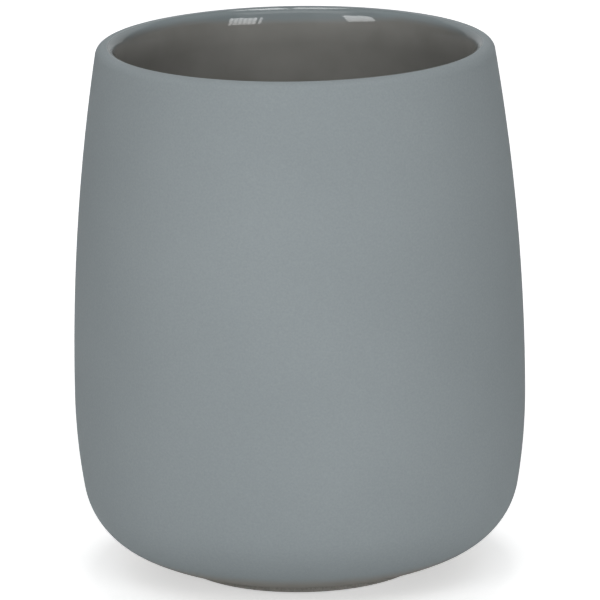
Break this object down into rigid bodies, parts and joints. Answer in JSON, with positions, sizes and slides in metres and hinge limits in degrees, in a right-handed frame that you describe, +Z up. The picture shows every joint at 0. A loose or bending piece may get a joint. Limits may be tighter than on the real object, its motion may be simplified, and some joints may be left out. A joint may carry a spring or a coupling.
{
  "type": "bathroom tumbler",
  "caption": "Egg-shaped stoneware bathroom tumbler with a rolled lip, a matte glaze outside, a gloss glaze inside, a small foot ring and a glued non-slip pad.",
  "frame": {"origin": "middle of the pad's underside, on the surface that the tumbler stands on", "axes": "+Z up along the axis of the cup; the cup is round, so +X and +Y are any two square directions"},
  "size_m": [0.085, 0.085, 0.1],
  "materials": {
    "stoneware": "matte",
    "matte_glaze": "matte",
    "gloss_glaze": "gloss",
    "pad": "matte",
    "adhesive": "satin"
  },
  "bodies": {
    "root": {"stoneware_body": "stoneware", "outer_matte_glaze": "matte_glaze", "inner_gloss_glaze": "gloss_glaze", "non_slip_pad": "pad", "pad_adhesive": "adhesive"}
  },
  "joints": []
}
